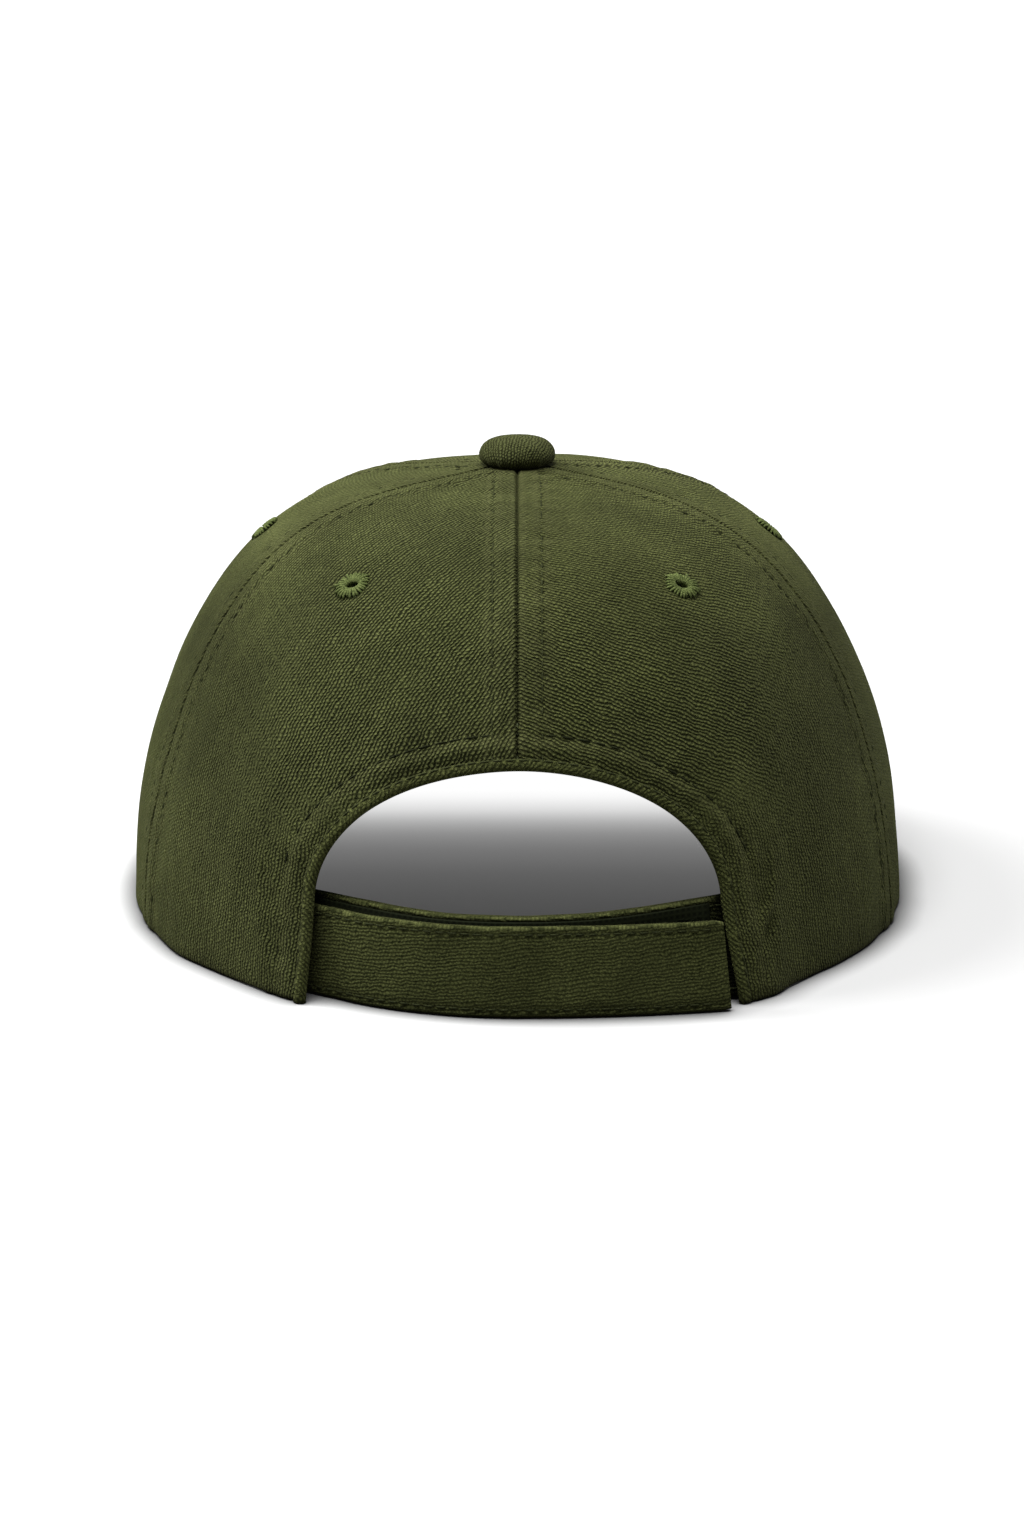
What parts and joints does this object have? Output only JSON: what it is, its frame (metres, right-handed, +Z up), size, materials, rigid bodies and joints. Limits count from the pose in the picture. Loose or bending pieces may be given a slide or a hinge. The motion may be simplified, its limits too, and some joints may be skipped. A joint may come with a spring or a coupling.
{
  "type": "baseball cap",
  "caption": "Low-profile cotton twill cap with seamed panels, a curved peak, a covered button, stitched eyelets and a hook-and-loop back strap over a half-round opening.",
  "frame": {"origin": "centre of the head opening, on the plane that the rear hem rests on, straight under the button", "axes": "+Z up through the button, +Y to the back of the head where the strap is, -Y to the peak, +X to the wearer's left"},
  "size_m": [0.178, 0.2686, 0.1043],
  "materials": {
    "twill": "matt cotton twill, olive green",
    "thread": "satin embroidery thread, brighter green",
    "buckram": "stiffened open gauze, off-white",
    "seam_tape": "plain woven tape, olive green",
    "sweatband": "soft cotton, olive green",
    "foam": "soft needled pad, off-white",
    "board": "flexible moulded board, natural",
    "metal": "plain pressed steel",
    "hook_tape": "stiff hook tape, dark green",
    "loop_tape": "fuzzy loop tape, dark green"
  },
  "bodies": {
    "crown": {"front_left_panel": "twill", "front_right_panel": "twill", "side_left_panel": "twill", "side_right_panel": "twill", "rear_left_panel": "twill", "rear_right_panel": "twill", "front_left_buckram": "buckram", "front_right_buckram": "buckram", "front_seam_tape": "seam_tape", "front_left_seam_tape": "seam_tape", "rear_left_seam_tape": "seam_tape", "rear_seam_tape": "seam_tape", "rear_right_seam_tape": "seam_tape", "front_right_seam_tape": "seam_tape", "sweatband_cover": "sweatband", "sweatband_core": "foam", "opening_binding": "twill", "opening_facing": "twill", "eyelets": "thread", "button_cover": "twill", "button_shell": "metal", "button_tack": "metal", "button_washer": "metal", "peak_board": "board", "peak_top_cover": "twill", "peak_under_cover": "twill", "outer_strap_anchor": "twill", "inner_strap_anchor": "twill"},
    "outer_strap": {"outer_strap": "twill", "hook_tape": "hook_tape"},
    "inner_strap": {"inner_strap": "twill", "loop_tape": "loop_tape"}
  },
  "joints": [
    {"name": "outer_strap_peel", "type": "hinge", "parent": "crown", "child": "outer_strap", "pos_m": [0.03945, 0.09074, 0], "axis": [0, 0, 1], "range_deg": [-110, 0]},
    {"name": "inner_strap_swing", "type": "hinge", "parent": "crown", "child": "inner_strap", "pos_m": [-0.04049, 0.08797, 0], "axis": [0, 0, 1], "range_deg": [-75, 0]}
  ]
}
